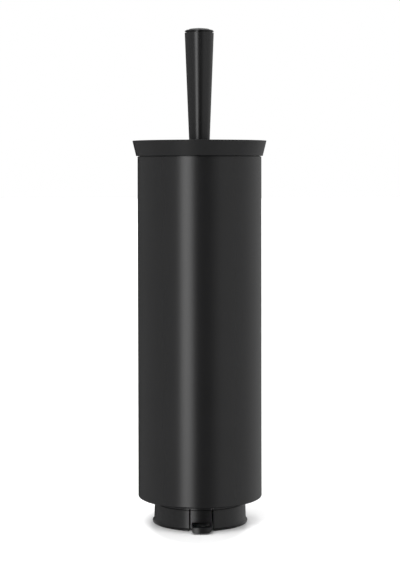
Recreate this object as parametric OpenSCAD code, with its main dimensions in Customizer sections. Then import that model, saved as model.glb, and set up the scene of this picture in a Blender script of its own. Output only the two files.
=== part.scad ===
// Closed toilet brush holder. A brush with its own lid stands in a removable inner bucket, and a
// steel casing drops over the bucket and latches onto its foot.
// The front faces -Y, +Z is up, and the origin is the middle of the underside, on the floor.
// Units are millimetres.

/* [Casing] */
// Outer diameter of the steel casing
casing_d = 107.4; // [106:0.2:112]
// Height of the steel casing
casing_h = 295; // [260:1:330]
// Gap between the floor and the casing's lower edge
casing_lift_off_floor = 22; // [21.8:0.2:24]
// Thickness of the casing's sheet steel
casing_wall = 0.6; // [0.5:0.1:0.8]
// Outer radius of the turned-in lower edge
casing_edge_r = 1.2; // [1:0.1:1.6]

/* [Lid] */
// Diameter of the lid at its top edge
lid_top_d = 116.4; // [114:0.2:120]
// Diameter of the lid at its lower edge
lid_bottom_d = 110; // [108:0.5:112]
// Height of the lid
lid_h = 13.2; // [12.5:0.1:15]
// Gap between the lid and the casing's upper edge
lid_gap = 0.6; // [0.5:0.1:1.5]
// Thickness of the lid's top plate and skirt
lid_wall = 2; // [1.6:0.1:2.4]
// Number of stiffening ribs under the lid
lid_ribs = 8; // [4:1:10]

/* [Handle] */
// Height of the grip above its base collar
handle_h = 92.3; // [80:0.1:130]
// Diameter at the foot of the grip
handle_base_d = 18; // [16.5:0.1:19]
// Diameter at the top of the grip
handle_top_d = 25.2; // [24:0.1:28]
// Height of the end cap above the grip
cap_h = 4.2; // [3.8:0.1:4.6]
// Diameter of the raised dome on the end cap
cap_dome_d = 17.8; // [14:0.2:18]
// Height of the shadow gap between the grip and the end cap
cap_gap = 0.9; // [0.5:0.1:1]

/* [Foot and latch] */
// Outer diameter of the foot's skirt where it enters the casing
foot_d = 78.9; // [77.5:0.1:79]
// Outer diameter of the flare on the floor
flare_d = 82.6; // [81.5:0.1:84]
// Width of the latch tongue
tongue_w = 18; // [16:0.5:20]
// Width of the slit on each side of the tongue
slit_w = 1.4; // [1.2:0.05:2]
// Distance from the axis to the front of the finger lip
lip_reach = 54; // [52:0.1:54.5]
// Height of the finger lip
lip_h = 4.4; // [4.2:0.1:5.6]

/* [Brush] */
// Outer diameter of the bristles
bristle_d = 70; // [64:0.5:71]
// Number of rows of tufts
tuft_rows = 9; // [6:1:9]
// Number of tufts in each row
tufts_per_row = 12; // [8:1:14]
// Diameter of the brush core
core_d = 20; // [18:0.5:22]
// Diameter of the steel stem
stem_d = 8; // [7:0.5:9]

/* [Hidden] */
$fn = 96;
casing_black = [0.13, 0.13, 0.135];
plastic_black = [0.16, 0.16, 0.165];
inner_grey = [0.24, 0.24, 0.25];
rubber_black = [0.1, 0.1, 0.1];
bristle_black = [0.2, 0.2, 0.21];
stem_steel = [0.68, 0.69, 0.7];

eps = 1;
fixed_gap = 0.05;
running_gap = 0.55;

casing_r = casing_d / 2;
casing_ir = casing_r - casing_wall;
casing_z0 = casing_lift_off_floor;
casing_z1 = casing_z0 + casing_h;
casing_hem_r = casing_r - 3.5;

lid_z0 = casing_z1 + lid_gap;
lid_z1 = lid_z0 + lid_h;
lid_top_r = lid_top_d / 2;
lid_bottom_r = lid_bottom_d / 2;
lid_plate_z = lid_z1 - lid_wall;
hub_r = 9.5;
hub_z = lid_z0 - 1;
nut_h = 6;
nut_flats = 17;
rib_w = 1.4;
rib_h = 4.5;
lid_edge = 0.3;

collar_z = lid_z1;
collar_h = 1;
handle_z0 = collar_z + collar_h;
handle_z1 = handle_z0 + handle_h;
collar_r = handle_base_d / 2 + 0.4;
cap_r = handle_top_d / 2;
cap_dome_r = cap_dome_d / 2;
cap_z1 = handle_z1 + cap_h;
cap_dome_curve = 40;
cap_dome_step = 0.4;
cap_edge_r = 1.45;
cap_edge_z = cap_z1 - 3.2;
cap_plug_h = 7;
handle_wall = 2.4;
stem_grip = 40;

ring_seat_z = casing_z0 + casing_wall;
ring_web_z0 = ring_seat_z + 2.7;
ring_web_z1 = ring_web_z0 + 2.5;
ring_top_z = ring_web_z1 + 9;
ring_wall = 1.6;
foot_r = foot_d / 2;
ring_bore_r = foot_r + running_gap;
flare_r = flare_d / 2;
stop_r = foot_r + 4.05;
stop_h = 2.8;
stop_z1 = ring_web_z0 - 0.1;

foot_draft = 0.4;
foot_draft_z = 17;
groove_z1 = 21.6;
groove_depth = 0.9;
foot_ir = foot_r - 2.35;
foot_z0 = 1;
foot_top_z = 60;
flare_fillet = 3.1;
flare_fillet_z = 3.9;
ledge_z = 48.8;
ledge_h = 1.5;
ledge_w = 2.5;
floor_ring_inset = 0.2;

tongue_top_z = 48;
tongue_slot_w = tongue_w + 2 * slit_w;
hook_z = ring_web_z1 + 0.3;
hook_h = 3.6;
hook_land = 1.6;
hook_reach = 1.75;
hook_w = 12;
lip_z0 = 1.4;
lip_z1 = lip_z0 + lip_h;
lip_w = tongue_w - 1.4;
lip_front_r = 20;
lip_corner = 2;
lip_wall = 1.1;
window_z0 = lip_z0 + lip_wall + 0.8;
recess_top = lip_z1 + 1.4;
recess_w = tongue_w - 2.4;
recess_back_r = foot_r - 1.1;

bucket_r = foot_r - 0.35;
bucket_wall = 1.6;
bucket_ir = bucket_r - bucket_wall;
spigot_r = foot_ir - fixed_gap;
spigot_ir = spigot_r - bucket_wall;
bucket_z0 = ledge_z + ledge_h;
bucket_floor = 2.2;
bucket_z1 = casing_z1 - 18.8;
bucket_bead_r = foot_r + 0.05;
bucket_bead_h = 4;
bucket_corner = 3;

mouth_top_z = lid_z0 - 0.25;
shelf_z = casing_z1 - 6.8;
mouth_or = casing_ir - fixed_gap;
mouth_ir = mouth_or - 2.45;
guide_r = mouth_ir - 0.6;
guide_wall = 2.2;
funnel_r = bucket_ir - 1.1;
funnel_wall = 0.75;
funnel_top_r = mouth_ir - 4;
funnel_drop = 8.5;
mouth_plate = 2.1;

core_r = core_d / 2;
stem_r = stem_d / 2;
stem_bore_r = stem_r + fixed_gap;
core_z0 = bucket_z0 + bucket_floor + 11.5;
row_pitch = 8.5;
first_row_z = core_z0 + 6;
core_z1 = first_row_z + row_pitch * (tuft_rows - 1) + 5;
core_neck_r = stem_r + 3.5;
socket_z0 = core_z1 + 9;
socket_z1 = socket_z0 + 21;
stem_z1 = handle_z0 + stem_grip;
bristle_r = bristle_d / 2;
tuft_t = 2;
tuft_ring_w = 2;
tuft_root_w = 4;
tuft_tip_w = 8;
row_rounding = 5;
tip_top_r = core_r - 3;
tip_r = core_r + 6;
tip_drop = 8;
tip_t = 2;

// Points on an arc about (x, z), from angle a0 to angle a1.
function arc(x, z, r, a0, a1, steps = 6) =
    [for (i = [0 : steps]) let (a = a0 + (a1 - a0) * i / steps) [x + r * cos(a), z + r * sin(a)]];

// Outside of the foot, from the flare up to height z: flare, concave fillet, a slight draft, then
// a shallow groove that the casing's edge overhangs.
function foot_side(z) = concat(
    [[flare_r, foot_z0]],
    arc(foot_r + foot_draft + flare_fillet, flare_fillet_z, flare_fillet,
        180 + acos((foot_r + foot_draft + flare_fillet - flare_r) / flare_fillet), 180),
    [[foot_r, foot_draft_z], [foot_r - groove_depth, foot_draft_z + 0.3],
     [foot_r - groove_depth, groove_z1 - 0.3], [foot_r, groove_z1], [foot_r, z]]);

// Length reached by the tufts of one row: the end rows are shorter.
function row_r(i) = bristle_r
    - row_rounding * pow(abs(i - (tuft_rows - 1) / 2) / ((tuft_rows - 1) / 2), 4);

module tube(r_out, r_in, z0, z1) {
    translate([0, 0, z0]) difference() {
        cylinder(r = r_out, h = z1 - z0);
        translate([0, 0, -eps]) cylinder(r = r_in, h = z1 - z0 + 2 * eps);
    }
}

// Upright slot through the front of a ring, for the tongue to stand in.
module tongue_slot(top_z) {
    translate([-tongue_slot_w / 2, -flare_r - 5, -eps])
        cube([tongue_slot_w, flare_r + 5 - foot_ir / 2, top_z + eps]);
}

// Front slice of a turned shape, of a given width.
module front_slice(width, z0, z1) {
    intersection() {
        children();
        translate([-width / 2, -casing_r, z0]) cube([width, casing_r - foot_ir / 2, z1 - z0]);
    }
}

// Steel sleeve with a turned-in lower edge.
module casing() {
    color(casing_black) rotate_extrude() polygon(concat(
        [[casing_hem_r, casing_z0]],
        arc(casing_r - casing_edge_r, casing_z0 + casing_edge_r, casing_edge_r, -90, 0),
        arc(casing_r - casing_wall / 2, casing_z1 - casing_wall / 2, casing_wall / 2, 0, 180),
        arc(casing_r - casing_edge_r, casing_z0 + casing_edge_r, casing_edge_r - casing_wall, 0, -90),
        [[casing_hem_r, casing_z0 + casing_wall]]));
}

// Plastic ring in the casing's mouth: seats the lid and leads drips into the bucket.
module rim_collar() {
    lip_z = shelf_z - funnel_drop;
    color(plastic_black) rotate_extrude() polygon([
        [mouth_or, mouth_top_z - 18], [mouth_or, mouth_top_z - 0.1], [mouth_or - 0.1, mouth_top_z],
        [mouth_ir + 0.3, mouth_top_z], [mouth_ir, mouth_top_z - 0.3], [mouth_ir, shelf_z],
        [funnel_top_r, shelf_z], [funnel_r, lip_z],
        [funnel_r, bucket_z1 - 1.5], [funnel_r + funnel_wall, bucket_z1 - 1.5],
        [funnel_r + funnel_wall, lip_z - 1], [funnel_top_r, shelf_z - mouth_plate],
        [mouth_or - ring_wall, shelf_z - mouth_plate], [mouth_or - ring_wall, mouth_top_z - 18]]);
}

// Plastic ring in the casing's lower end: rests on the foot's stop, and the latch hooks over it.
module base_ring() {
    outer_r = casing_ir - fixed_gap;
    color(plastic_black) rotate_extrude() polygon([
        [stop_r + 0.4, ring_seat_z], [outer_r - casing_edge_r, ring_seat_z],
        [outer_r, ring_seat_z + casing_edge_r], [outer_r, ring_top_z],
        [outer_r - ring_wall, ring_top_z], [outer_r - ring_wall, ring_web_z1],
        [ring_bore_r, ring_web_z1], [ring_bore_r, ring_web_z0], [stop_r + 0.4, ring_web_z0]]);
}

// Removable plastic bucket that the brush drips into.
module inner_bucket() {
    top = bucket_z1;
    bead = bucket_bead_r;
    color(inner_grey) rotate_extrude() polygon(concat(
        [[0, bucket_z0], [spigot_r - 1, bucket_z0], [spigot_r, bucket_z0 + 1],
         [spigot_r, foot_top_z + fixed_gap], [bucket_r, foot_top_z + fixed_gap],
         [bucket_r, top - bucket_bead_h], [bead, top - bucket_bead_h + 0.6]],
        arc(bead - 0.8, top - 0.8, 0.8, 0, 90),
        arc(bucket_ir + 0.6, top - 0.6, 0.6, 90, 180),
        [[bucket_ir, foot_top_z + 4], [spigot_ir, foot_top_z]],
        arc(spigot_ir - bucket_corner, bucket_z0 + bucket_floor + bucket_corner, bucket_corner,
            0, -90),
        [[0, bucket_z0 + bucket_floor]]));
}

// Foot under the bucket: skirt with a stop for the casing and a slot for the tongue.
module foot_base() {
    color(plastic_black) difference() {
        rotate_extrude() polygon(concat(
            [[foot_ir, foot_z0]],
            foot_side(stop_z1 - stop_h),
            [[stop_r - 0.4, stop_z1 - stop_h], [stop_r, stop_z1 - stop_h + 0.4],
             [stop_r, stop_z1 - 0.4], [stop_r - 0.4, stop_z1], [foot_r, stop_z1],
             [foot_r, foot_top_z - 0.6], [foot_r - 0.6, foot_top_z], [foot_ir, foot_top_z],
             [foot_ir, ledge_z + ledge_h], [foot_ir - ledge_w, ledge_z + ledge_h],
             [foot_ir - ledge_w, ledge_z], [foot_ir, ledge_z]]));
        tongue_slot(tongue_top_z + 0.4);
    }
}

// Soft non-slip ring under the foot.
module floor_ring() {
    outer_r = flare_r - floor_ring_inset;
    color(rubber_black) difference() {
        rotate_extrude() polygon(concat(
            [[foot_ir + 0.3, 0]],
            arc(outer_r - 0.5, 0.5, 0.5, -90, 0, 4),
            [[outer_r, foot_z0], [foot_ir + 0.3, foot_z0]]));
        tongue_slot(foot_z0 + eps);
    }
}

// Outline of the finger lip from above: straight sides and a bowed front, as far back as back_r.
module lip_plan(inset, back_r) {
    intersection() {
        translate([-lip_w / 2 + inset, -lip_reach]) square([lip_w - 2 * inset, lip_reach - back_r]);
        translate([0, lip_front_r - lip_reach]) circle(r = lip_front_r - inset);
    }
}

// Outline of the finger lip from the front: a bar with rounded lower corners.
module lip_front() {
    for (side = [-1, 1]) translate([side * (lip_w / 2 - lip_corner), lip_z0 + lip_corner])
        circle(r = lip_corner);
    translate([-lip_w / 2, lip_z0 + lip_corner]) square([lip_w, lip_h - lip_corner]);
    translate([-lip_w / 2 + lip_corner, lip_z0]) square([lip_w - 2 * lip_corner, lip_h]);
}

module finger_lip() {
    intersection() {
        translate([0, 0, lip_z0 - eps]) linear_extrude(lip_h + 2 * eps) lip_plan(0, foot_ir);
        translate([0, -foot_ir, 0]) rotate([90, 0, 0]) linear_extrude(lip_reach) lip_front();
    }
}

// Sprung tongue: hinges at its top, hooks over the base ring, and has a finger lip. The lip is
// scooped out, and a window behind the scoop goes through the tongue.
module latch_tongue() {
    color(plastic_black) difference() {
        union() {
            front_slice(tongue_w, lip_z0, tongue_top_z) rotate_extrude() polygon(concat(
                [[foot_ir, foot_z0]],
                foot_side(tongue_top_z),
                [[foot_ir, tongue_top_z]]));
            front_slice(hook_w, hook_z, hook_z + hook_h) rotate_extrude() polygon([
                [foot_r - 0.5, hook_z], [foot_r + hook_reach, hook_z],
                [foot_r + hook_reach, hook_z + hook_land], [foot_r - 0.5, hook_z + hook_h]]);
            finger_lip();
        }
        difference() {
            translate([-recess_w / 2, -flare_r - 5, lip_z1])
                cube([recess_w, flare_r + 5, recess_top - lip_z1]);
            cylinder(r = recess_back_r, h = recess_top + eps);
        }
        difference() {
            translate([0, 0, lip_z0 + lip_wall]) linear_extrude(recess_top - lip_z0 - lip_wall)
                lip_plan(lip_wall, foot_ir - 3);
            cylinder(r = recess_back_r, h = window_z0);
        }
    }
}

// Lid: flared skirt, flat top, central hub and stiffening ribs.
module lid() {
    flare = (lid_top_r - lid_bottom_r) / lid_h;
    skirt_z = lid_plate_z - 0.5;
    color(plastic_black) difference() {
        union() {
            rotate_extrude() polygon([
                [0, hub_z], [hub_r - 0.5, hub_z], [hub_r, hub_z + 0.5], [hub_r, lid_plate_z],
                [lid_top_r - lid_wall - flare * lid_wall - 0.5, lid_plate_z],
                [lid_top_r - lid_wall - flare * (lid_wall + 0.5), skirt_z],
                [lid_bottom_r - lid_wall, lid_z0], [lid_bottom_r - lid_edge, lid_z0],
                [lid_bottom_r + flare * lid_edge, lid_z0 + lid_edge],
                [lid_top_r - flare * lid_edge, lid_z1 - lid_edge],
                [lid_top_r - lid_edge, lid_z1], [0, lid_z1]]);
            for (i = [0 : lid_ribs - 1]) rotate([0, 0, 360 * (i + 0.5) / lid_ribs])
                translate([hub_r - 1, -rib_w / 2, lid_plate_z - rib_h])
                    cube([guide_r - guide_wall - fixed_gap - hub_r + 1, rib_w, rib_h + 1]);
        }
        translate([0, 0, hub_z - eps]) cylinder(r = stem_bore_r, h = lid_z1 - hub_z + 2 * eps);
    }
}

// Ring under the lid that centres it in the casing's mouth and rests on the collar.
module lid_guide_ring() {
    color(plastic_black) rotate_extrude() polygon([
        [guide_r - guide_wall, shelf_z + fixed_gap], [guide_r - 1, shelf_z + fixed_gap],
        [guide_r, shelf_z + fixed_gap + 1], [guide_r, lid_plate_z],
        [guide_r - guide_wall, lid_plate_z]]);
}

// Nut that clamps the lid and the base collar against the handle.
module lid_lock_nut() {
    color(plastic_black) translate([0, 0, hub_z - nut_h]) difference() {
        union() {
            cylinder(r = nut_flats / 2 / cos(30), h = nut_h - 1.2, $fn = 6);
            translate([0, 0, nut_h - 1.2]) cylinder(r = nut_flats / 2 + 1.4, h = 1.2);
        }
        translate([0, 0, -eps]) cylinder(r = stem_bore_r, h = nut_h + 2 * eps);
    }
}

// Thin collar between the handle and the lid.
module handle_collar() {
    color(plastic_black) rotate_extrude() polygon([
        [stem_bore_r, collar_z], [collar_r, collar_z], [collar_r, handle_z0 - 0.3],
        [collar_r - 0.3, handle_z0], [stem_bore_r, handle_z0]]);
}

// Hollow tapered grip, closed at its foot round the stem and open at its top for the cap.
module handle_grip() {
    base_r = handle_base_d / 2;
    top_r = handle_top_d / 2;
    cavity_z0 = stem_z1 + 3;
    cavity_r0 = base_r + (cavity_z0 - handle_z0) * (top_r - base_r) / handle_h - handle_wall;
    bore_r = top_r - handle_wall;
    color(plastic_black) rotate_extrude() polygon([
        [stem_bore_r, handle_z0], [base_r - 0.2, handle_z0], [base_r, handle_z0 + 0.2],
        [top_r, handle_z1 - 0.15], [top_r - 0.15, handle_z1], [bore_r, handle_z1],
        [bore_r, handle_z1 - cap_plug_h - 1], [min(cavity_r0, bore_r - 0.5), cavity_z0],
        [0, cavity_z0], [0, stem_z1], [stem_bore_r, stem_z1]]);
}

// End cap: rounded shoulder with a shallow raised dome, set off from the grip by a shadow gap.
module handle_end_cap() {
    plug_r = cap_r - handle_wall - fixed_gap;
    rim_z = handle_z1 + cap_gap;
    rim_a = asin(max(0.1, rim_z - cap_edge_z) / cap_edge_r);
    dome_z = cap_z1 - cap_dome_curve;
    dome_a = asin(cap_dome_r / cap_dome_curve);
    step_z = dome_z + cap_dome_curve * cos(dome_a) - cap_dome_step;
    color(plastic_black) rotate_extrude() polygon(concat(
        [[0, handle_z1 - cap_plug_h + 1.5], [plug_r - 1.6, handle_z1 - cap_plug_h + 1.5],
         [plug_r - 1.6, handle_z1 - cap_plug_h], [plug_r, handle_z1 - cap_plug_h],
         [plug_r, rim_z]],
        arc(cap_r - cap_edge_r, cap_edge_z, cap_edge_r, rim_a, 80, 8),
        [[cap_dome_r + 0.25, step_z]],
        arc(0, dome_z, cap_dome_curve, 90 - dome_a, 90, 8)));
}

// Steel stem from the brush head's socket up into the grip.
module stem_rod() {
    color(stem_steel) translate([0, 0, socket_z0]) cylinder(r = stem_r, h = stem_z1 - socket_z0);
}

// Core that carries the tufts, with a ribbed socket that screws onto the stem.
module brush_core() {
    color(plastic_black) {
        rotate_extrude() polygon([
            [0, core_z0], [core_r - 1.5, core_z0], [core_r, core_z0 + 1.5], [core_r, core_z1],
            [core_neck_r, socket_z0 - 2], [core_neck_r, socket_z1 - 1],
            [core_neck_r - 1, socket_z1], [stem_bore_r, socket_z1], [stem_bore_r, socket_z0],
            [0, socket_z0]]);
        for (i = [0 : 7]) rotate([0, 0, 45 * i])
            translate([core_neck_r - 0.6, -0.6, socket_z0]) cube([1.2, 1.2, 18]);
    }
}

// One row of tufts, standing in for its filaments: a thin toothed disc round the core.
module tuft_row(r, turn) {
    root_r = core_r + tuft_ring_w;
    rotate([0, 0, turn]) translate([0, 0, -tuft_t / 2]) linear_extrude(tuft_t) difference() {
        union() {
            circle(r = root_r);
            for (i = [0 : tufts_per_row - 1]) rotate(360 * i / tufts_per_row)
                polygon([[core_r + 0.5, -tuft_root_w / 2], [r, -tuft_tip_w / 2],
                         [r, tuft_tip_w / 2], [core_r + 0.5, tuft_root_w / 2]]);
        }
        circle(r = core_r + fixed_gap);
    }
}

// Stand-in for the filaments round the side of the core.
module bristle_rows() {
    color(bristle_black) for (i = [0 : tuft_rows - 1])
        translate([0, 0, first_row_z + row_pitch * i])
            tuft_row(row_r(i), (i % 2) * 180 / tufts_per_row);
}

// Stand-in for the ring of filaments under the core's end.
module tip_bristles() {
    color(bristle_black) rotate_extrude() polygon([
        [tip_top_r - tip_t, core_z0], [tip_r - tip_t, core_z0 - tip_drop],
        [tip_r, core_z0 - tip_drop], [tip_top_r, core_z0]]);
}

casing();
rim_collar();
base_ring();
inner_bucket();
foot_base();
floor_ring();
latch_tongue();
lid();
lid_guide_ring();
lid_lock_nut();
handle_collar();
handle_grip();
handle_end_cap();
stem_rod();
brush_core();
bristle_rows();
tip_bristles();
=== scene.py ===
"""Closed toilet brush holder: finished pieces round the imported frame, in a plain white studio.

Everything is in metres, in the frame's own axes: the front faces -Y and the floor is z = 0.
Sizes that the design sets come from the frame; MM turns the script's own millimetres into metres.
"""

import math
import random

import bmesh
import bpy
import numpy as np
from mathutils import Matrix, Vector


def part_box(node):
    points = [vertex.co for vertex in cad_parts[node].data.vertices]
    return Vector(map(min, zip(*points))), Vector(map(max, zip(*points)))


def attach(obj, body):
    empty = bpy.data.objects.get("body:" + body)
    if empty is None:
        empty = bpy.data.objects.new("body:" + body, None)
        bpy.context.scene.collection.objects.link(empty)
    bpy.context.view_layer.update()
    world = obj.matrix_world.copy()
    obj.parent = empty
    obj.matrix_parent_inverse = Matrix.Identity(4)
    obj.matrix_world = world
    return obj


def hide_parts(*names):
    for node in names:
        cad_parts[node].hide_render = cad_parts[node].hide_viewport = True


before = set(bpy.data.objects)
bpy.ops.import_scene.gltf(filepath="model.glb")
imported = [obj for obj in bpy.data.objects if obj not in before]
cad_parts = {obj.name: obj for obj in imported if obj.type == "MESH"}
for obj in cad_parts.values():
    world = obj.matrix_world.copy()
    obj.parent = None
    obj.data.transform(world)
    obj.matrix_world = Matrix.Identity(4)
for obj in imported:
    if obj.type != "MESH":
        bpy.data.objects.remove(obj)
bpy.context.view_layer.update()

MM = 0.001
ROUND_STEPS = 192
FILLET_STEPS = 5
FIXED_GAP = 0.05 * MM
ON_AXIS = 0.0001 * MM


# ---------------------------------------------------------------- camera, floor and light

CAMERA_DISTANCE = 1.3172
CAMERA_HEIGHT = 0.3070
CAMERA_SIDE = 0.0004
CAMERA_TURN = math.radians(-1.4)
CAMERA_PITCH = math.radians(1.29)
CAMERA_ROLL = math.radians(-0.1)
CAMERA_LENS = 95.85
CAMERA_SENSOR = 36
CAMERA_SHIFT = -0.145
CAMERA_CLIP = (0.05, 60)


def make_camera():
    data = bpy.data.cameras.new("photo_camera")
    data.lens = CAMERA_LENS
    data.sensor_width = CAMERA_SENSOR
    data.shift_y = CAMERA_SHIFT
    data.clip_start, data.clip_end = CAMERA_CLIP
    camera = bpy.data.objects.new("photo_camera", data)
    camera.location = (CAMERA_SIDE, -CAMERA_DISTANCE, CAMERA_HEIGHT)
    camera.location.rotate(Matrix.Rotation(CAMERA_TURN, 3, "Z"))
    aim = Matrix.Rotation(CAMERA_TURN, 3, "Z") @ Matrix.Rotation(math.pi / 2 - CAMERA_PITCH, 3, "X")
    camera.rotation_euler = (aim @ Matrix.Rotation(CAMERA_ROLL, 3, "Z")).to_euler()
    bpy.context.scene.collection.objects.link(camera)
    bpy.context.scene.camera = camera


class Nodes:
    """A node tree with short calls to add nodes and links."""

    def __init__(self, tree):
        self.tree = tree
        tree.nodes.clear()

    def add(self, kind, inputs=None, **settings):
        node = self.tree.nodes.new(kind)
        for key, value in settings.items():
            setattr(node, key, value)
        for key, value in (inputs or {}).items():
            self.set(node.inputs[key], value)
        return node

    def set(self, socket, value):
        if isinstance(value, bpy.types.NodeSocket):
            self.tree.links.new(value, socket)
        else:
            socket.default_value = value

    def math(self, operation, a, b=0.0):
        node = self.add("ShaderNodeMath", operation=operation)
        self.set(node.inputs[0], a)
        self.set(node.inputs[1], b)
        return node.outputs[0]

    def ramp(self, factor, stops):
        """Colour ramp of greys: stops are (position, value)."""
        node = self.add("ShaderNodeValToRGB", {"Fac": factor})
        ramp = node.color_ramp
        while len(ramp.elements) < len(stops):
            ramp.elements.new(0.5)
        for element, (position, value) in zip(ramp.elements, stops):
            element.position = position
            element.color = (value, value, value, 1)
        return node.outputs["Color"]


# What the studio looks like from the object: brightness by compass direction, in degrees to the
# right of the camera. Two pale walls fade towards the back. A tall strip light stands left of the
# camera, and a dark gap is right of it. A panel hangs high behind the object.
LEFT_WALL = [(-165, 0), (-100, 0.6), (-35, 0.8), (-6, 0)]
RIGHT_WALL = [(16, 0), (38, 0.9), (110, 0.9), (180, 0)]
STUDIO_STRENGTH = 1.0
STRIP_AZIMUTH = -25
STRIP_HALF_WIDTH = 11
STRIP_STRENGTH = 5.95
PANEL = [(-180, 1), (-160, 1), (-140, 0), (140, 0), (160, 1), (180, 1)]
PANEL_STRENGTH = 1.4
GROUND_STRENGTH = 0.38
CEILING_STRENGTH = 1.4
# Shares of the walls, strip, panel, ground and ceiling by height, in degrees above the horizon.
WALL_SHARE = [(-36, 0), (-18, 1), (40, 1), (65, 0)]
STRIP_SHARE = [(-24, 0), (-14, 0.84), (-6, 0.97), (0, 1)]
PANEL_SHARE = [(5, 0), (14, 1), (45, 1), (65, 0)]
GROUND_SHARE = [(-60, 0.2), (-42, 1), (-30, 1), (-18, 0)]
CEILING_SHARE = [(40, 0), (65, 1)]


def make_world():
    world = bpy.data.worlds.new("studio")
    world.use_nodes = True
    bpy.context.scene.world = world
    n = Nodes(world.node_tree)
    direction = n.add("ShaderNodeTexCoord").outputs["Generated"]
    axes = n.add("ShaderNodeSeparateXYZ", {"Vector": direction})
    ahead = n.math("MULTIPLY", axes.outputs["Y"], -1)
    azimuth = n.math("DEGREES", n.math("ARCTAN2", axes.outputs["X"], ahead))
    elevation = n.math("DEGREES", n.math("ARCSINE", axes.outputs["Z"]))
    turn = n.math("DIVIDE", n.math("ADD", azimuth, 180), 360)
    height = n.math("DIVIDE", n.math("ADD", elevation, 90), 180)

    def share(stops):
        return n.ramp(height, [((e + 90) / 180, v) for e, v in stops])

    def around(stops):
        return n.ramp(turn, [((a + 180) / 360, v) for a, v in stops])

    walls = n.math("MULTIPLY", around(LEFT_WALL + RIGHT_WALL), share(WALL_SHARE))
    panel = n.math("MULTIPLY", around(PANEL), share(PANEL_SHARE))
    off_axis = n.math("DIVIDE", n.math("SUBTRACT", azimuth, STRIP_AZIMUTH), STRIP_HALF_WIDTH)
    squared = n.math("MULTIPLY", off_axis, off_axis)
    strip = n.math("EXPONENT", n.math("MULTIPLY", n.math("MULTIPLY", squared, squared), -1))
    strip = n.math("MULTIPLY", strip, share(STRIP_SHARE))
    total = 0.0
    for part, strength in (
            (walls, STUDIO_STRENGTH), (strip, STRIP_STRENGTH), (panel, PANEL_STRENGTH),
            (share(GROUND_SHARE), GROUND_STRENGTH), (share(CEILING_SHARE), CEILING_STRENGTH)):
        total = n.math("ADD", n.math("MULTIPLY", part, strength), total)
    studio = n.add("ShaderNodeBackground", {"Color": (1, 1, 1, 1), "Strength": total})
    white = n.add("ShaderNodeBackground", {"Color": (1, 1, 1, 1)})
    seen = n.add("ShaderNodeLightPath").outputs["Is Camera Ray"]
    mixed = n.add("ShaderNodeMixShader", {"Fac": seen})
    n.set(mixed.inputs[1], studio.outputs[0])
    n.set(mixed.inputs[2], white.outputs[0])
    output = n.add("ShaderNodeOutputWorld")
    n.set(output.inputs["Surface"], mixed.outputs[0])


FLOOR_HALF = 14.0
FLOOR_PAINTED_GLOW = 0.35
# The floor glows a little, a painted glow that no lamp gives, except in an oval round the foot,
# where the missing glow is a painted shade over the floor's own shading, shifted towards the
# front. The oval's shift and the band where the glow sets in are in shares of its half sizes.
PAINTED_SHADE_HALF_SIZE = (0.045, 0.075)
PAINTED_SHADE_SHIFT = (0.044, 0.25)
PAINTED_SHADE_BAND = (0.8, 1.06)


def make_floor():
    mesh = bpy.data.meshes.new("studio_floor")
    corners = [(x * FLOOR_HALF, y * FLOOR_HALF, 0) for x, y in ((-1, -1), (1, -1), (1, 1), (-1, 1))]
    mesh.from_pydata(corners, [], [(0, 1, 2, 3)])
    floor = bpy.data.objects.new("studio_floor", mesh)
    bpy.context.scene.collection.objects.link(floor)
    material, n = new_material("floor_painted_shade")
    spot = n.add("ShaderNodeTexCoord").outputs["Object"]
    painted_shade_oval = n.add("ShaderNodeMapping", {
        "Vector": spot, "Location": PAINTED_SHADE_SHIFT + (0,),
        "Scale": (1 / PAINTED_SHADE_HALF_SIZE[0], 1 / PAINTED_SHADE_HALF_SIZE[1], 0)})
    reach = n.add("ShaderNodeVectorMath", {"Vector": painted_shade_oval.outputs[0]}, operation="LENGTH")
    # Painted light: painted glow outside the oval, none inside it, so the oval shows as a painted
    # shade.
    painted_glow = n.add("ShaderNodeMapRange", {
        "Value": reach.outputs["Value"], "From Min": PAINTED_SHADE_BAND[0], "From Max": PAINTED_SHADE_BAND[1],
        "To Max": FLOOR_PAINTED_GLOW}, interpolation_type="SMOOTHSTEP").outputs["Result"]
    finish_material(n, Base_Color=(0.8, 0.8, 0.8, 1), Roughness=0.9, Specular_IOR_Level=0.1,
                    Emission_Color=(1, 1, 1, 1), Emission_Strength=painted_glow)
    mesh.materials.append(material)
    floor.visible_glossy = False


LAMP_SIZE = (1.4, 1.0)
LAMP_POWER = 9
LAMP_PLACE = (-0.25, -0.35, 1.9)
LAMP_TILT = (math.radians(10), math.radians(-7), 0)


def make_lights():
    data = bpy.data.lights.new("overhead", "AREA")
    data.shape = "RECTANGLE"
    data.size, data.size_y = LAMP_SIZE
    data.energy = LAMP_POWER
    lamp = bpy.data.objects.new("overhead", data)
    lamp.location = LAMP_PLACE
    lamp.rotation_euler = LAMP_TILT
    lamp.visible_camera = False
    lamp.visible_glossy = False
    bpy.context.scene.collection.objects.link(lamp)


# ---------------------------------------------------------------- materials


def new_material(name):
    material = bpy.data.materials.new(name)
    material.use_nodes = True
    return material, Nodes(material.node_tree)


def finish_material(n, **inputs):
    """Principled shader as the material's surface. Underscores in the names stand for spaces."""
    shader = n.add("ShaderNodeBsdfPrincipled", {k.replace("_", " "): v for k, v in inputs.items()})
    output = n.add("ShaderNodeOutputMaterial")
    n.set(output.inputs["Surface"], shader.outputs[0])


def noise(n, spot, scale, detail=2.0, roughness=0.5):
    node = n.add("ShaderNodeTexNoise", {"Vector": spot, "Scale": scale, "Detail": detail,
                                        "Roughness": roughness})
    return node.outputs["Fac"]


def grey(n, factor, low, high, tint=(1, 1, 1)):
    """Colour that runs between two greys as factor goes from 0 to 1."""
    node = n.add("ShaderNodeMix", {"Factor": factor}, data_type="RGBA")
    n.set(node.inputs["A"], tuple(low * t for t in tint) + (1,))
    n.set(node.inputs["B"], tuple(high * t for t in tint) + (1,))
    return node.outputs["Result"]


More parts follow.
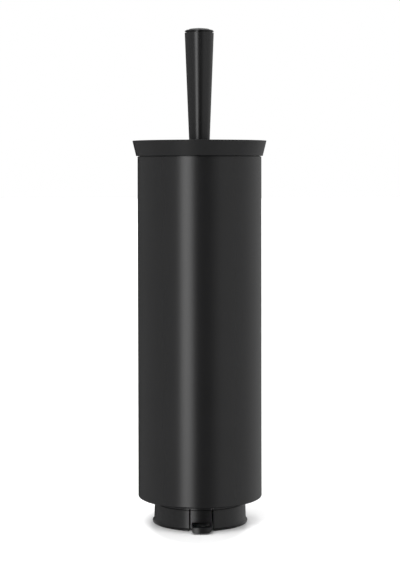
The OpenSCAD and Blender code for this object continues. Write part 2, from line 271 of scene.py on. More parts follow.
def between(n, factor, low, high):
    node = n.add("ShaderNodeMapRange", {"Value": factor, "To Min": low, "To Max": high})
    return node.outputs["Result"]


def bump(n, height, depth, under=None):
    """Bump normal of a height map, depth in metres, on top of another normal."""
    inputs = {"Height": height, "Distance": depth, "Strength": 1.0}
    if under is not None:
        inputs["Normal"] = under
    return n.add("ShaderNodeBump", inputs).outputs["Normal"]


BLACK_SPECULAR = 0.27


def powder_coat():
    """Fine matt powder coat: tiny pebbled skin over a slow waviness, with faint tone changes."""
    material, n = new_material("powder_coat_black")
    spot = n.add("ShaderNodeTexCoord").outputs["Object"]
    pebble = noise(n, spot, 2600, 3)
    wave = noise(n, spot, 420, 1)
    cloud = noise(n, spot, 22, 4)
    skin = bump(n, pebble, 0.012 * MM, bump(n, wave, 0.010 * MM))
    finish_material(
        n, Base_Color=grey(n, cloud, 0.0070, 0.0095, (1, 1, 1.03)),
        Roughness=between(n, pebble, 0.22, 0.28), Specular_IOR_Level=BLACK_SPECULAR, Normal=skin)
    return material


def moulded_plastic(name, low, high, rough_low, rough_high, grain, specular=BLACK_SPECULAR):
    """Spark-eroded mould texture in black plastic, with slight flow marks along its length."""
    material, n = new_material(name)
    spot = n.add("ShaderNodeTexCoord").outputs["Object"]
    pits = noise(n, spot, 3200, 2)
    stretched = n.add("ShaderNodeMapping", {"Vector": spot, "Scale": (1, 1, 0.12)})
    flow = noise(n, stretched.outputs[0], 90, 3)
    finish_material(
        n, Base_Color=grey(n, flow, low, high, (1, 1, 1.02)),
        Roughness=between(n, pits, rough_low, rough_high), Specular_IOR_Level=specular,
        Normal=bump(n, pits, grain * MM))
    return material


def soft_rubber():
    material, n = new_material("floor_rubber")
    spot = n.add("ShaderNodeTexCoord").outputs["Object"]
    skin = noise(n, spot, 1800, 4, 0.65)
    finish_material(n, Base_Color=grey(n, skin, 0.006, 0.011), Roughness=between(n, skin, 0.6, 0.8),
                    Specular_IOR_Level=0.2, Normal=bump(n, skin, 0.03 * MM))
    return material


def brushed_steel():
    """Stainless stem, brushed round its axis: fine rings of changing roughness and height."""
    material, n = new_material("brushed_stainless")
    spot = n.add("ShaderNodeTexCoord").outputs["Object"]
    rings = n.add("ShaderNodeMapping", {"Vector": spot, "Scale": (0.03, 0.03, 1)})
    brush = noise(n, rings.outputs[0], 9000, 3, 0.7)
    tone = noise(n, spot, 60, 2)
    finish_material(n, Base_Color=grey(n, tone, 0.52, 0.64, (1, 0.99, 0.97)), Metallic=1.0,
                    Roughness=between(n, brush, 0.22, 0.42), Normal=bump(n, brush, 0.006 * MM))
    return material


def nylon():
    """Black nylon filament: tone varies from strand to strand and along each one."""
    material, n = new_material("nylon_filament")
    spot = n.add("ShaderNodeTexCoord").outputs["Object"]
    strand = n.add("ShaderNodeNewGeometry").outputs["Random Per Island"]
    along = noise(n, spot, 300, 2)
    tone = n.math("ADD", n.math("MULTIPLY", strand, 0.7), n.math("MULTIPLY", along, 0.3))
    finish_material(n, Base_Color=grey(n, tone, 0.008, 0.03, (1, 1, 1.05)),
                    Roughness=between(n, along, 0.28, 0.42), Specular_IOR_Level=0.5,
                    Normal=bump(n, along, 0.01 * MM))
    return material


# ---------------------------------------------------------------- mesh helpers


def outline(corners, steps=FILLET_STEPS):
    """Closed outline in (r, z) from corners (r, z, fillet radius), in metres."""
    points = []
    count = len(corners)
    for i, (x, y, radius) in enumerate(corners):
        here = Vector((x, y))
        if radius <= 0:
            points.append((x, y))
            continue
        back = (Vector(corners[i - 1][:2]) - here).normalized()
        on = (Vector(corners[(i + 1) % count][:2]) - here).normalized()
        half = back.angle(on) / 2
        reach = radius / math.tan(half)
        centre = here + (back + on).normalized() * (radius / math.sin(half))
        start = here + back * reach - centre
        end = here + on * reach - centre
        first = math.atan2(start.y, start.x)
        sweep = (math.atan2(end.y, end.x) - first + math.pi) % (2 * math.pi) - math.pi
        for k in range(steps + 1):
            angle = first + sweep * k / steps
            points.append((centre.x + radius * math.cos(angle),
                           centre.y + radius * math.sin(angle)))
    return points


def lathe_mesh(points, segments=ROUND_STEPS):
    """bmesh of a closed (r, z) outline turned round Z. A point on the axis is one vertex."""
    bm = bmesh.new()
    rings = []
    for r, z in points:
        if r < ON_AXIS:
            rings.append([bm.verts.new((0, 0, z))])
        else:
            angles = [2 * math.pi * k / segments for k in range(segments)]
            rings.append([bm.verts.new((r * math.cos(a), r * math.sin(a), z)) for a in angles])
    for i, ring in enumerate(rings):
        other = rings[(i + 1) % len(rings)]
        if len(ring) == 1 and len(other) == 1:
            continue
        for k in range(segments):
            j = (k + 1) % segments
            if len(ring) == 1:
                corners = (ring[0], other[j], other[k])
            elif len(other) == 1:
                corners = (ring[k], ring[j], other[0])
            else:
                corners = (ring[k], ring[j], other[j], other[k])
            bm.faces.new(corners)
    bmesh.ops.recalc_face_normals(bm, faces=bm.faces)
    return bm


def object_from(bm, name):
    mesh = bpy.data.meshes.new(name)
    bm.to_mesh(mesh)
    bm.free()
    made = bpy.data.objects.new(name, mesh)
    bpy.context.scene.collection.objects.link(made)
    return made


def lathe(name, corners, segments=ROUND_STEPS):
    return object_from(lathe_mesh(outline(corners), segments), name)


def block(name, low, high):
    """Plain box between two corners, used only to cut or join."""
    bm = bmesh.new()
    bmesh.ops.create_cube(bm, size=1)
    low, high = Vector(low), Vector(high)
    bmesh.ops.scale(bm, vec=high - low, verts=bm.verts)
    bmesh.ops.translate(bm, vec=(high + low) / 2, verts=bm.verts)
    return object_from(bm, name)


def prism(name, points, low, high, axis="Z"):
    """Flat outline swept from low to high along Z or Y."""
    bm = bmesh.new()
    bottom, top = [
        [bm.verts.new((u, v, w) if axis == "Z" else (u, w, v)) for u, v in points]
        for w in (low, high)]
    bm.faces.new(bottom)
    bm.faces.new(top)
    for i in range(len(points)):
        j = (i + 1) % len(points)
        bm.faces.new((bottom[i], bottom[j], top[j], top[i]))
    bmesh.ops.recalc_face_normals(bm, faces=bm.faces)
    return object_from(bm, name)


def bake_modifiers(piece):
    """Replaces the piece's mesh by the result of its modifiers."""
    graph = bpy.context.evaluated_depsgraph_get()
    mesh = bpy.data.meshes.new_from_object(piece.evaluated_get(graph))
    piece.modifiers.clear()
    piece.data = mesh


def combine(piece, tool, operation):
    """Boolean of two pieces: DIFFERENCE, UNION or INTERSECT. The tool is used up."""
    cut = piece.modifiers.new("cut", "BOOLEAN")
    cut.operation = operation
    cut.object = tool
    cut.solver = "EXACT"
    bpy.context.view_layer.update()
    bake_modifiers(piece)
    bpy.data.objects.remove(tool)
    return piece


def soften(piece, width=0.0, angle=32):
    """Rounds the remaining hard edges a little and shades the piece smooth."""
    if width:
        bevel = piece.modifiers.new("edge", "BEVEL")
        bevel.width = width
        bevel.segments = 3
        bevel.limit_method = "ANGLE"
        bevel.angle_limit = math.radians(angle)
        bake_modifiers(piece)
    mesh = piece.data
    mesh.polygons.foreach_set("use_smooth", [True] * len(mesh.polygons))
    mesh.set_sharp_from_angle(angle=math.radians(angle))
    weighted = piece.modifiers.new("flats", "WEIGHTED_NORMAL")
    weighted.keep_sharp = True
    weighted.weight = 80
    return piece


def place(piece, body, slot, material, *nodes):
    """Gives the piece its material and body and hides the CAD nodes that it stands for; slot is not
    used.
    """
    piece.data.materials.clear()
    piece.data.materials.append(material)
    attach(piece, body)
    if nodes:
        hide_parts(*nodes)
    return piece


def span(node):
    """(outer radius, lowest z, highest z) of a round CAD node."""
    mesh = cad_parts[node].data
    co = np.empty(len(mesh.vertices) * 3)
    mesh.vertices.foreach_get("co", co)
    co = co.reshape(-1, 3)
    return float(np.hypot(co[:, 0], co[:, 1]).max()), float(co[:, 2].min()), float(co[:, 2].max())


# ---------------------------------------------------------------- the casing, lifted off as one

CASING_WALL = 0.6 * MM
CASING_EDGE = 1.2 * MM
HEM_WIDTH = 3.5 * MM
RING_WALL = 1.6 * MM
RING_WEB_LOW = 2.7 * MM
RING_WEB_HIGH = 5.2 * MM


def casing(paint):
    r, z0, z1 = span("casing")
    inner = r - CASING_WALL
    bend = CASING_EDGE - CASING_WALL
    hem = r - HEM_WIDTH
    lip = CASING_WALL / 2 * 0.98
    shell = lathe("casing_shell", [
        (hem, z0, 0.2 * MM), (r, z0, CASING_EDGE), (r, z1, lip), (inner, z1, lip),
        (inner, z0 + CASING_WALL, bend), (hem, z0 + CASING_WALL, 0.2 * MM)])
    return place(soften(shell), "casing", "casing_paint", paint, "casing")


def weld_seam(paint):
    """Ground and painted lengthways weld at the back of the rolled sheet."""
    r, z0, z1 = span("casing")
    half_width, proud, sink = 0.8 * MM, 0.09 * MM, 0.15 * MM
    columns, rows = 9, 60
    rng = random.Random(4)
    bm = bmesh.new()
    grid = []
    for i in range(rows + 1):
        z = z0 + CASING_EDGE + (z1 - z0 - 1.5 * CASING_EDGE) * i / rows
        swell = 1 + 0.25 * (rng.random() - 0.5)
        line = []
        for k in range(columns):
            u = 2 * k / (columns - 1) - 1
            height = proud * swell * math.cos(u * math.pi / 2) ** 2
            if k in (0, columns - 1):
                height = -sink
            angle = math.pi / 2 + u * half_width / r
            line.append(bm.verts.new(((r + height) * math.cos(angle),
                                      (r + height) * math.sin(angle), z)))
        grid.append(line)
    for low, high in zip(grid, grid[1:]):
        for k in range(columns - 1):
            bm.faces.new((low[k], low[k + 1], high[k + 1], high[k]))
        bm.faces.new((low[-1], low[0], high[0], high[-1]))
    bm.faces.new(grid[0])
    bm.faces.new(grid[-1])
    bmesh.ops.recalc_face_normals(bm, faces=bm.faces)
    seam = object_from(bm, "casing_weld_seam")
    return place(soften(seam, angle=60), "casing", "casing_paint", paint)


def rim_collar(plastic):
    """Seat in the casing's mouth, with a funnel that leads drips into the bucket."""
    r, z0, z1 = span("rim_collar")
    bucket_r, _, bucket_top = span("inner_bucket")
    mouth = r - 2.45 * MM
    shelf = span("casing")[2] - 6.8 * MM
    under = shelf - 2.1 * MM
    funnel_top = mouth - 4 * MM
    funnel_low = shelf - 8.5 * MM
    throat = bucket_r - 3.1 * MM
    lip = 0.75 * MM
    low = bucket_top - 1.5 * MM
    collar = lathe("rim_collar_ring", [
        (r, z0, 0.2 * MM), (r, z1, 0.1 * MM), (mouth, z1, 0.3 * MM), (mouth, shelf, 0.5 * MM),
        (funnel_top, shelf, 0.5 * MM), (throat, funnel_low, 0.4 * MM), (throat, low, 0.3 * MM),
        (throat + lip, low, 0.3 * MM), (throat + lip, funnel_low - 1 * MM, 0.3 * MM),
        (funnel_top, under, 0.5 * MM), (r - RING_WALL, under, 0.5 * MM),
        (r - RING_WALL, z0, 0.2 * MM)])
    return place(soften(collar), "casing", "black_plastic", plastic, "rim_collar")


def base_ring(plastic):
    """Ring in the casing's lower end, which rests on the foot's stop."""
    r, z0, z1 = span("base_ring")
    foot = span("foot_base")[0] - STOP_WIDTH
    bore = foot + 0.55 * MM
    counterbore = foot + 4.45 * MM
    web_low, web_high = z0 + RING_WEB_LOW, z0 + RING_WEB_HIGH
    ring = lathe("casing_base_ring", [
        (counterbore, z0, 0.3 * MM), (r, z0, 1.2 * MM), (r, z1, 0.3 * MM),
        (r - RING_WALL, z1, 0.3 * MM), (r - RING_WALL, web_high, 0.8 * MM),
        (bore, web_high, 0.3 * MM), (bore, web_low, 0.3 * MM), (counterbore, web_low, 0.3 * MM)])
    return place(soften(ring), "casing", "black_plastic", plastic, "base_ring")


# ---------------------------------------------------------------- the bucket and its foot

FOOT_WALL = 2.35 * MM
STOP_WIDTH = 4.05 * MM
STOP_DROP = 2.9 * MM
STOP_HEIGHT = 2.8 * MM
FOOT_DRAFT = 0.4 * MM
FLARE_FILLET = 3.1 * MM
FLARE_FILLET_Z = 3.9 * MM
FLOOR_RING_INSET = 0.2 * MM
GROOVE_DEPTH = 0.9 * MM
GROOVE_Z = [17 * MM, 17.3 * MM, 21.3 * MM, 21.6 * MM]
TONGUE_WIDTH = 18 * MM
TONGUE_SLOT = TONGUE_WIDTH + 2 * 1.4 * MM
TONGUE_TOP = 48 * MM


def inner_bucket(plastic):
    bead, z0, z1 = span("inner_bucket")
    step = span("foot_base")[2]
    wall = 1.6 * MM
    r = bead - 0.4 * MM
    spigot = bead - 0.05 * MM - FOOT_WALL - FIXED_GAP
    floor = z0 + 2.2 * MM
    bucket = lathe("inner_bucket_liner", [
        (0, z0, 0), (spigot, z0, 1 * MM), (spigot, step + FIXED_GAP, 0.3 * MM),
        (r, step + FIXED_GAP, 0.5 * MM), (r, z1 - 4 * MM, 0.6 * MM),
        (bead, z1 - 3.4 * MM, 0.5 * MM), (bead, z1, 0.8 * MM), (r - wall, z1, 0.6 * MM),
        (r - wall, step + 4 * MM, 2 * MM),
        (spigot - wall, step, 2 * MM), (spigot - wall, floor, 3 * MM), (0, floor, 0)])
    return place(soften(bucket), "bucket", "bucket_plastic", plastic, "inner_bucket")


def gate_mark(plastic):
    """Small raised disc under the bucket's floor, where the plastic entered the mould."""
    z0 = span("inner_bucket")[1]
    mark = lathe("bucket_gate_mark", [
        (0, z0 - 0.5 * MM, 0), (3.2 * MM, z0 - 0.5 * MM, 0.3 * MM), (3.6 * MM, z0 + 0.2 * MM, 0),
        (0, z0 + 0.2 * MM, 0)], segments=48)
    return place(soften(mark), "bucket", "bucket_plastic", plastic)


def skirt_side(foot, flare, low, top):
    """Outside of the foot from the floor ring up: flare, fillet, slight draft and a groove."""
    centre_r = foot + FOOT_DRAFT + FLARE_FILLET
    groove = foot - GROOVE_DEPTH
    start = math.acos((centre_r - flare) / FLARE_FILLET)
    points = [(flare, low), (flare, low + 0.2 * MM)]
    steps = 10
    for k in range(steps + 1):
        angle = start * (1 - k / steps)
        points.append((centre_r - FLARE_FILLET * math.cos(angle),
                       FLARE_FILLET_Z - FLARE_FILLET * math.sin(angle)))
    return points + list(zip((foot, groove, groove, foot), GROOVE_Z)) + [(foot, top)]


def front_block(name, width, low, top):
    """Box through the front wall of the foot, for slots and slices."""
    return block(name, (-width / 2, -70 * MM, low), (width / 2, -20 * MM, top))


def foot_base(plastic):
    stop, z0, z1 = span("foot_base")
    foot = stop - STOP_WIDTH
    inner = foot - FOOT_WALL
    flare = span("floor_ring")[0] + FLOOR_RING_INSET
    stop_low = span("base_ring")[1] + RING_WEB_LOW - STOP_DROP
    stop_top = stop_low + STOP_HEIGHT
    ledge_low, ledge_top, ledge = 48.8 * MM, 50.3 * MM, inner - 2.5 * MM
    side = skirt_side(foot, flare, z0, stop_low)
    rest = outline([
        (stop, stop_low, 0.4 * MM), (stop, stop_top, 0.4 * MM), (foot, stop_top, 0.4 * MM),
        (foot, z1, 0.6 * MM), (inner, z1, 0.2 * MM), (inner, ledge_top, 0.2 * MM),
        (ledge, ledge_top, 0.3 * MM), (ledge, ledge_low, 0.3 * MM), (inner, ledge_low, 0.2 * MM),
        (inner, z0, 0.2 * MM)])
    skirt = object_from(lathe_mesh(side + rest), "foot_skirt")
    slot = front_block("slot", TONGUE_SLOT, -10 * MM, TONGUE_TOP + 0.4 * MM)
    combine(skirt, slot, "DIFFERENCE")
    soften(skirt, 0.5 * MM, 40)
    return place(skirt, "bucket", "black_plastic", plastic, "foot_base")


def floor_ring(rubber):
    r, z0, z1 = span("floor_ring")
    inner = span("foot_base")[0] - STOP_WIDTH - FOOT_WALL + 0.3 * MM
    ring = lathe("floor_ring_pad", [
        (inner, z0, 0.15 * MM), (r, z0, 0.5 * MM), (r, z1, 0), (inner, z1, 0)])
    slot = front_block("slot", TONGUE_SLOT, -10 * MM, 10 * MM)
    combine(ring, slot, "DIFFERENCE")
    soften(ring, 0.15 * MM, 40)
    return place(ring, "bucket", "floor_rubber", rubber, "floor_ring")


LIP_WIDTH = TONGUE_WIDTH - 1.4 * MM
LIP_BOW = 20 * MM
LIP_WALL = 1.1 * MM
LIP_LOW = 1.4 * MM
LIP_HIGH = 5.8 * MM
LIP_CORNER = 2.0 * MM
RECESS_WIDTH = 15.6 * MM
WINDOW_LOW = 3.3 * MM
HOOK_LOW = 5.5 * MM
HOOK_REACH = 1.75 * MM
HOOK_LAND = 1.6 * MM
HOOK_HEIGHT = 3.6 * MM
HOOK_WIDTH = 12 * MM


def lip_plan(reach, inner, inset):
    """Outline of the finger lip from above: straight sides and a bowed front."""
    half = LIP_WIDTH / 2 - inset
    bow = LIP_BOW - inset
    centre = LIP_BOW - reach
    swing = math.asin(half / bow)
    steps = 16
    front = []
    for k in range(steps + 1):
        angle = swing * (2 * k / steps - 1)
        front.append((bow * math.sin(angle), centre - bow * math.cos(angle)))
    return [(-half, -inner)] + front + [(half, -inner)]


def wall_inside(radius, top):
    """Solid disc up to a height, to keep the wall behind a cut."""
    bm = lathe_mesh([(0, -5 * MM), (radius, -5 * MM), (radius, top), (0, top)])
    return object_from(bm, "keep")


def latch_hook(foot):
    """Catch over the base ring's web, sloped on top."""
    root, low = foot - 0.5 * MM, span("base_ring")[1] + HOOK_LOW
    tip = foot + HOOK_REACH
    hook = object_from(lathe_mesh([
        (root, low), (tip, low), (tip, low + HOOK_LAND), (root, low + HOOK_HEIGHT)]), "hook")
    return combine(hook, front_block("slice", HOOK_WIDTH, low - 1 * MM, low + 5 * MM), "INTERSECT")


def finger_lip(reach, inner):
    """Solid lip, with its lower edges rounded as seen from the front."""
    half, above = LIP_WIDTH / 2, LIP_HIGH + 1 * MM
    lip = prism("lip", lip_plan(reach, inner, 0), LIP_LOW - 1 * MM, LIP_HIGH)
    face = outline([(-half, LIP_LOW, LIP_CORNER), (half, LIP_LOW, LIP_CORNER),
                    (half, above, 0), (-half, above, 0)], 8)
    return combine(lip, prism("face", face, -60 * MM, -30 * MM, "Y"), "INTERSECT")


def latch_tongue(plastic):
    """Sprung tongue: slice of the skirt with a hook, and a scooped lip for a fingertip."""
    low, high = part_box("latch_tongue")
    reach = -low.y
    stop, z0, _ = span("foot_base")
    foot = stop - STOP_WIDTH
    inner = foot - FOOT_WALL
    flare = span("floor_ring")[0] + FLOOR_RING_INSET
    skirt = skirt_side(foot, flare, z0, high.z) + [(inner, high.z), (inner, z0)]
    tongue = object_from(lathe_mesh(skirt), "latch_spring_tongue")
    combine(tongue, front_block("slice", TONGUE_WIDTH, low.z, high.z + 1 * MM), "INTERSECT")
    combine(tongue, latch_hook(foot), "UNION")
    combine(tongue, finger_lip(reach, inner), "UNION")
    recess_top = LIP_HIGH + 1.4 * MM
    back = foot - 1.1 * MM
    recess = block("recess", (-RECESS_WIDTH / 2, -60 * MM, LIP_HIGH),
                   (RECESS_WIDTH / 2, -30 * MM, recess_top))
    combine(recess, wall_inside(back, 20 * MM), "DIFFERENCE")
    combine(tongue, recess, "DIFFERENCE")
    scoop = prism("scoop", lip_plan(reach, inner - 5 * MM, LIP_WALL), LIP_LOW + LIP_WALL,
                  recess_top - 0.01 * MM)
    combine(scoop, wall_inside(back, WINDOW_LOW), "DIFFERENCE")
    combine(tongue, scoop, "DIFFERENCE")
    soften(tongue, 0.3 * MM, 40)
    return place(tongue, "latch", "black_plastic", plastic, "latch_tongue")


# ---------------------------------------------------------------- the brush with its lid

STEM_BORE = 4.05 * MM
LID_WALL = 2 * MM
LID_FLARE = 3.2 * MM
LID_RIBS = 8
GUIDE_WALL = 2.2 * MM
HUB_RADIUS = 9.5 * MM
NUT_STEPS = 96
STEM_STEPS = 96


def lid(plastic):
    r, hub_low, z1 = span("lid")
    low = hub_low + 1 * MM
    plate = z1 - LID_WALL
    bottom = r - LID_FLARE
    slope = (r - bottom) / (z1 - low)
    under = r - LID_WALL - slope * LID_WALL
    cover = lathe("lid_cover", [
        (STEM_BORE, hub_low, 0.2 * MM), (HUB_RADIUS, hub_low, 0.5 * MM),
        (HUB_RADIUS, plate, 1 * MM), (under, plate, 0.8 * MM), (bottom - LID_WALL, low, 0.3 * MM),
        (bottom, low, 0.3 * MM), (r, z1, 0.3 * MM), (STEM_BORE, z1, 0)])
    guide = span("lid_guide_ring")[0] - GUIDE_WALL - FIXED_GAP
    for i in range(LID_RIBS):
        rib = block("rib", (HUB_RADIUS - 1 * MM, -0.7 * MM, plate - 4.5 * MM),
                    (guide, 0.7 * MM, plate + 1 * MM))
        rib.data.transform(Matrix.Rotation(2 * math.pi * (i + 0.5) / LID_RIBS, 4, "Z"))
        combine(cover, rib, "UNION")
    return place(soften(cover), "brush", "black_plastic", plastic, "lid")


def lid_guide_ring(plastic):
    r, z0, z1 = span("lid_guide_ring")
    ring = lathe("lid_guide_skirt", [
        (r - GUIDE_WALL, z0, 0.4 * MM), (r, z0, 1 * MM), (r, z1, 0), (r - GUIDE_WALL, z1, 0)])
    return place(soften(ring), "brush", "black_plastic", plastic, "lid_guide_ring")


def lid_lock_nut(plastic):
    _, z0, z1 = span("lid_lock_nut")
    across_flats = 17 * MM
    flat = across_flats / 2
    flange = z1 - 1.2 * MM
    corner = flat / math.cos(math.pi / 6)
    nut = object_from(lathe_mesh([(0, z0), (corner, z0), (corner, flange), (0, flange)], 6),
                      "lid_clamp_nut")
    chamfer = lathe("chamfer", [
        (0, z0 - 1 * MM, 0), (flat - 1 * MM, z0 - 1 * MM, 0),
        (corner + 1 * MM, z0 + 1.2 * MM, 0), (corner + 1 * MM, z1, 0), (0, z1, 0)], NUT_STEPS)
    combine(nut, chamfer, "INTERSECT")
    washer = lathe("washer", [
        (0, flange, 0), (flat + 1.4 * MM, flange, 0.3 * MM), (flat + 1.4 * MM, z1, 0.3 * MM),
        (0, z1, 0)], NUT_STEPS)
    combine(nut, washer, "UNION")
    bore = lathe("bore", [
        (0, z0 - 2 * MM, 0), (STEM_BORE, z0 - 2 * MM, 0), (STEM_BORE, z1 + 2 * MM, 0),
        (0, z1 + 2 * MM, 0)], NUT_STEPS)
    combine(nut, bore, "DIFFERENCE")
    soften(nut, 0.25 * MM, 25)
    return place(nut, "brush", "black_plastic", plastic, "lid_lock_nut")


def handle_collar(plastic):
    r, z0, z1 = span("handle_collar")
    collar = lathe("handle_foot_collar", [
        (STEM_BORE, z0, 0), (r, z0, 0.15 * MM), (r, z1, 0.35 * MM), (STEM_BORE, z1, 0)])
    return place(soften(collar), "brush", "black_plastic", plastic, "handle_collar")


GRIP_WALL = 2.4 * MM


def handle_grip(plastic):
    top, z0, z1 = span("handle_grip")
    base = span("handle_collar")[0] - 0.4 * MM
    stem_top = span("stem_rod")[2]
    plug_low = span("handle_end_cap")[1]
    floor = stem_top + 3 * MM
    bore = top - GRIP_WALL
    neck = base + (floor - z0) * (top - base) / (z1 - z0) - GRIP_WALL
    grip = lathe("handle_taper_grip", [
        (STEM_BORE, z0, 0), (base, z0, 0.25 * MM), (top, z1, 0.15 * MM), (bore, z1, 0.2 * MM),
        (bore, plug_low - 1 * MM, 0.5 * MM), (neck, floor, 1 * MM), (0, floor, 0),
        (0, stem_top, 0), (STEM_BORE, stem_top, 0)])
    return place(soften(grip), "brush", "handle_plastic", plastic, "handle_grip")


CAP_GAP = 0.9 * MM
CAP_DOME = 8.9 * MM
CAP_CURVE = 40 * MM
CAP_STEP = 0.4 * MM
CAP_EDGE = 1.45 * MM
CAP_EDGE_DROP = 3.2 * MM
CAP_EDGE_END = math.radians(80)
CAP_EDGE_STEPS = 12
CAP_DOME_STEPS = 20


def handle_end_cap(plastic):
    """End cap: rounded shoulder and shallow raised dome, set off from the grip by a gap."""
    _, z0, z1 = span("handle_end_cap")
    grip_r, _, grip_top = span("handle_grip")
    plug = grip_r - GRIP_WALL - FIXED_GAP
    rim = grip_top + CAP_GAP
    edge = Vector((grip_r - CAP_EDGE, z1 - CAP_EDGE_DROP))
    low = math.asin(max(0.1 * MM, rim - edge.y) / CAP_EDGE)
    spread = math.asin(CAP_DOME / CAP_CURVE)
    step = z1 - CAP_CURVE * (1 - math.cos(spread))
    shoulder = step - CAP_STEP
    points = [(0, z0 + 1.5 * MM), (plug - 1.6 * MM, z0 + 1.5 * MM), (plug - 1.6 * MM, z0),
              (plug, z0), (plug, rim)]
    for k in range(CAP_EDGE_STEPS + 1):
        angle = low + (CAP_EDGE_END - low) * k / CAP_EDGE_STEPS
        points.append((edge.x + CAP_EDGE * math.cos(angle), edge.y + CAP_EDGE * math.sin(angle)))
    fillet = outline([(edge.x, edge.y, 0), points[-1] + (0,),
                      (CAP_DOME + 0.2 * MM, shoulder, 0.15 * MM),
                      (CAP_DOME + 0.08 * MM, step, 0.15 * MM), (0, z1, 0)], 4)
    points += fillet[2:-1]
    for k in range(1, CAP_DOME_STEPS + 1):
        angle = spread * (1 - k / CAP_DOME_STEPS)
        points.append((CAP_CURVE * math.sin(angle), z1 - CAP_CURVE * (1 - math.cos(angle))))
    cap = object_from(lathe_mesh(points), "handle_dome_cap")
    return place(soften(cap), "brush", "handle_plastic", plastic, "handle_end_cap")


def stem_rod(steel):
    """Stem with the end of its thread showing under the lock nut."""
    r, z0, z1 = span("stem_rod")
    nut_low = span("lid_lock_nut")[1]
    pitch, turns, depth = 1.25 * MM, 6, 0.45 * MM
    corners = [(0, z0, 0), (r, z0, 0.4 * MM)]
    for k in range(turns):
        z = nut_low - pitch * (turns - k)
        corners += [(r, z, 0), (r - depth, z + pitch * 0.45, 0.1 * MM), (r, z + pitch * 0.9, 0)]
    corners += [(r, z1, 0.3 * MM), (0, z1, 0)]
    rod = lathe("stem_rod_steel", corners, STEM_STEPS)
    return place(soften(rod), "brush", "stem_steel", steel, "stem_rod")


def brush_core(plastic):
    r, z0, z1 = span("brush_core")
    socket = z1 - 21 * MM
    neck = 7.5 * MM
    top = socket - 9 * MM
    core = lathe("brush_core_socket", [
        (0, z0, 0), (r, z0, 1.5 * MM), (r, top, 1.5 * MM), (neck, socket - 2 * MM, 1.5 * MM),
        (neck, z1, 1 * MM), (STEM_BORE, z1, 0.3 * MM), (STEM_BORE, socket, 0), (0, socket, 0)])
    for i in range(8):
        rib = block("rib", (neck - 0.6 * MM, -0.6 * MM, socket),
                    (neck + 0.6 * MM, 0.6 * MM, socket + 18 * MM))
        rib.data.transform(Matrix.Rotation(math.pi / 4 * i, 4, "Z"))
        combine(core, rib, "UNION")
    soften(core, 0.2 * MM, 40)
    return place(core, "brush", "black_plastic", plastic, "brush_core")


# ---------------------------------------------------------------- bristles

TUFT_ROWS = 9
TUFTS_PER_ROW = 12
STRANDS_PER_TUFT = 34
STRAND_RADIUS = 0.2 * MM
STRAND_SIDES = 4
STRAND_STEPS = 6


def add_strand(verts, faces, root, aim, length, bend, rng):
    """One filament: a thin prism from root along aim, bending a little on its way."""
    aim = aim.normalized()
    side = aim.orthogonal().normalized()
    side.rotate(Matrix.Rotation(rng.uniform(0, 2 * math.pi), 3, aim))
    other = aim.cross(side)
    crimp = rng.uniform(0, 2 * math.pi)
    start = len(verts)
    for k in range(STRAND_STEPS + 1):
        t = k / STRAND_STEPS
        wave = 0.18 * MM * math.sin(crimp + 9 * t)
        centre = root + aim * (length * t) + bend * (t * t) + side * wave * t
        radius = STRAND_RADIUS * (1 if k < STRAND_STEPS else 0.75)
        for s in range(STRAND_SIDES):
            turn = 2 * math.pi * s / STRAND_SIDES
            verts.append(centre + (side * math.cos(turn) + other * math.sin(turn)) * radius)
    for k in range(STRAND_STEPS):
        for s in range(STRAND_SIDES):
            a = start + k * STRAND_SIDES + s
            b = start + k * STRAND_SIDES + (s + 1) % STRAND_SIDES
            faces.append((a, b, b + STRAND_SIDES, a + STRAND_SIDES))
    faces.append(tuple(start + s for s in reversed(range(STRAND_SIDES))))
    last = start + STRAND_STEPS * STRAND_SIDES
    faces.append(tuple(last + s for s in range(STRAND_SIDES)))


def strands_object(name, verts, faces, material):
    mesh = bpy.data.meshes.new(name)
    mesh.from_pydata([tuple(v) for v in verts], [], faces)
    mesh.polygons.foreach_set("use_smooth", [True] * len(faces))
    mesh.set_sharp_from_angle(angle=math.radians(70))
    made = bpy.data.objects.new(name, mesh)
    bpy.context.scene.collection.objects.link(made)
    made.data.materials.append(material)
    return made


def directions(angle):
    """Unit vectors away from the axis and across it, at an angle round Z."""
    return (Vector((math.cos(angle), math.sin(angle), 0)),
            Vector((-math.sin(angle), math.cos(angle), 0)))


def side_bristles(material):
    """Tufts standing out all round the core, each a bundle of splayed nylon strands."""
    r, low, high = span("bristle_rows")
    core = span("brush_core")[0]
    thickness = 2 * MM
    first, last = low + thickness / 2, high - thickness / 2
    pitch = (last - first) / (TUFT_ROWS - 1)
    middle = (TUFT_ROWS - 1) / 2
    rng = random.Random(11)
    verts, faces = [], []
    for row in range(TUFT_ROWS):
        reach = r - 5 * MM * abs((row - middle) / middle) ** 4
        for tuft in range(TUFTS_PER_ROW):
            angle = 2 * math.pi * (tuft + (row % 2) / 2) / TUFTS_PER_ROW
            outward, across = directions(angle)
            z = first + pitch * row
            for _ in range(STRANDS_PER_TUFT):
                spread = math.sqrt(rng.random())
                turn = rng.uniform(0, 2 * math.pi)
                u, v = spread * math.cos(turn), spread * math.sin(turn)
                root = outward * (core - 0.6 * MM) + across * (1.7 * MM * u)
                root.z = z + 1.5 * MM * v
                tip = outward * (reach - rng.uniform(0.4, 1.6) * MM)
                tip += across * (4.6 * MM * u + rng.gauss(0, 0.7 * MM))
                tip.z = z + 4.0 * MM * v + rng.gauss(0, 0.6 * MM)
                flat = math.hypot(tip.x, tip.y)
                limit = (reach - 0.45 * MM) / flat
                if limit < 1:
                    tip.x, tip.y = tip.x * limit, tip.y * limit
                bend = Vector((0, 0, rng.gauss(-0.3, 0.4) * MM))
                aim = tip - root - bend
                add_strand(verts, faces, root, aim, aim.length, bend, rng)
    made = strands_object("brush_side_bristles", verts, faces, material)
    return place(made, "brush", "bristle_nylon", material, "bristle_rows")


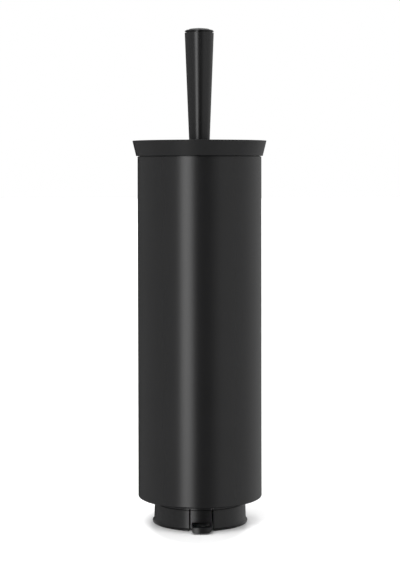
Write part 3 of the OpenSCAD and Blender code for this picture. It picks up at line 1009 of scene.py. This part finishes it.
def tip_bristles(material):
    """Ring of tufts that flares down and out from the core's end."""
    r, low, high = span("tip_bristles")
    rng = random.Random(23)
    root_r = r - 9 * MM
    verts, faces = [], []
    for tuft in range(TUFTS_PER_ROW):
        angle = 2 * math.pi * (tuft + 0.5) / TUFTS_PER_ROW
        outward, across = directions(angle)
        for _ in range(STRANDS_PER_TUFT):
            u, v = rng.gauss(0, 0.45), rng.gauss(0, 0.45)
            root = outward * (root_r - 1 * MM + 1.2 * MM * v) + across * (1.2 * MM * u)
            root.z = high + 0.8 * MM
            tip = outward * (r - 2.2 * MM + 2 * MM * max(-1, min(0.8, v)))
            tip += across * (2.6 * MM * u)
            tip.z = low + rng.uniform(0.3, 1.2) * MM
            bend = outward * rng.gauss(0.2, 0.2) * MM
            aim = tip - root - bend
            add_strand(verts, faces, root, aim, aim.length, bend, rng)
    made = strands_object("brush_tip_bristles", verts, faces, material)
    return place(made, "brush", "bristle_nylon", material, "tip_bristles")


# ---------------------------------------------------------------- build


def build():
    paint = powder_coat()
    black = moulded_plastic("moulded_black", 0.0070, 0.0095, 0.24, 0.30, 0.008)
    matt = moulded_plastic("lid_matt_black", 0.0100, 0.0130, 0.28, 0.34, 0.008, 0.17)
    satin = moulded_plastic("handle_satin_black", 0.0070, 0.0095, 0.21, 0.27, 0.006)
    liner = moulded_plastic("bucket_grey", 0.018, 0.024, 0.42, 0.52, 0.02, 0.35)
    rubber, steel, filament = soft_rubber(), brushed_steel(), nylon()
    casing(paint)
    weld_seam(paint)
    rim_collar(black)
    base_ring(black)
    inner_bucket(liner)
    gate_mark(liner)
    foot_base(black)
    floor_ring(rubber)
    latch_tongue(black)
    lid(matt)
    lid_guide_ring(black)
    lid_lock_nut(black)
    handle_collar(black)
    handle_grip(satin)
    handle_end_cap(satin)
    stem_rod(steel)
    brush_core(black)
    side_bristles(filament)
    tip_bristles(filament)


make_camera()
make_world()
make_floor()
make_lights()
bpy.context.scene.view_settings.view_transform = "Standard"
build()
